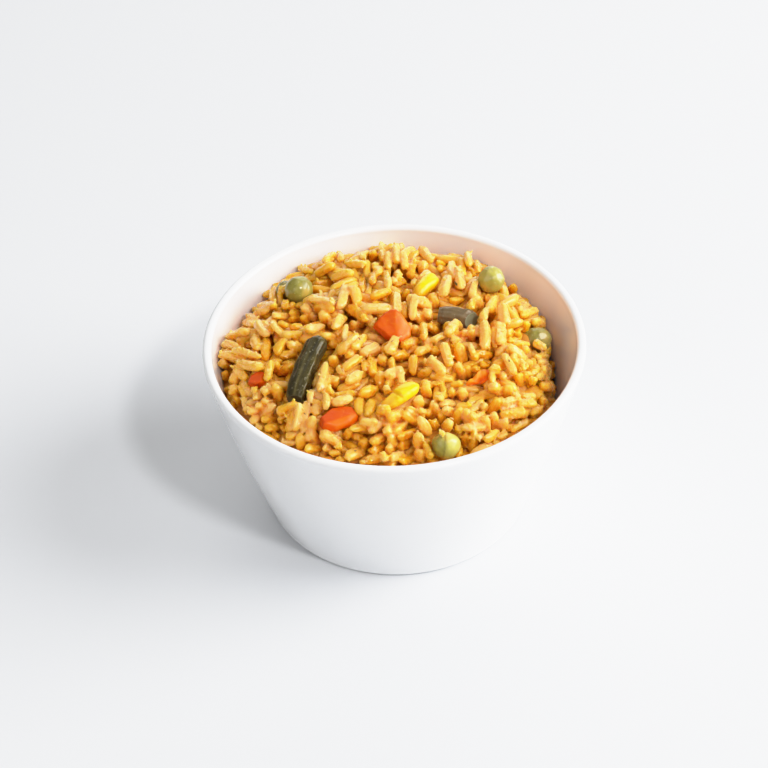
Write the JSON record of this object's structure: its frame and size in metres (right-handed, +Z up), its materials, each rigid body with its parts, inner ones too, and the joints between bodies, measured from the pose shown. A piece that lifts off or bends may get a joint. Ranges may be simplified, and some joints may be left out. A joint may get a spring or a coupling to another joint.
{
  "type": "bowl of mexican rice",
  "caption": "White tapered bowl filled to a low uneven heap of orange-yellow rice with peas, carrot pieces, corn kernels and cut green beans.",
  "frame": {"origin": "middle of the bowl's base, on the surface it stands on", "axes": "+Z up through the bowl's axis; -Y towards the viewer of the picture, +X to the viewer's right"},
  "size_m": [0.11, 0.11, 0.0655],
  "materials": {
    "glaze": "smooth white glaze, glossy, with an even soft sheen and no pattern",
    "rice": "cooked grains, pale yellow to deep orange, moist and slightly translucent, with soft small highlights",
    "pea": "cooked pea skin, dull olive to yellow green, smooth and moist, slightly wrinkled",
    "carrot": "cooked carrot, bright orange with redder sides, moist cut faces",
    "corn": "cooked corn kernel, clear yellow, thin glossy skin",
    "bean": "cooked green bean, dark olive, ribbed along its length, moist"
  },
  "bodies": {
    "root": {"bowl": "glaze", "rice": "rice", "pea_1": "pea", "pea_2": "pea", "pea_3": "pea", "pea_4": "pea", "pea_5": "pea", "carrot_1": "carrot", "carrot_2": "carrot", "carrot_3": "carrot", "carrot_4": "carrot", "corn_1": "corn", "corn_2": "corn", "bean_1": "bean", "bean_2": "bean"}
  },
  "joints": []
}
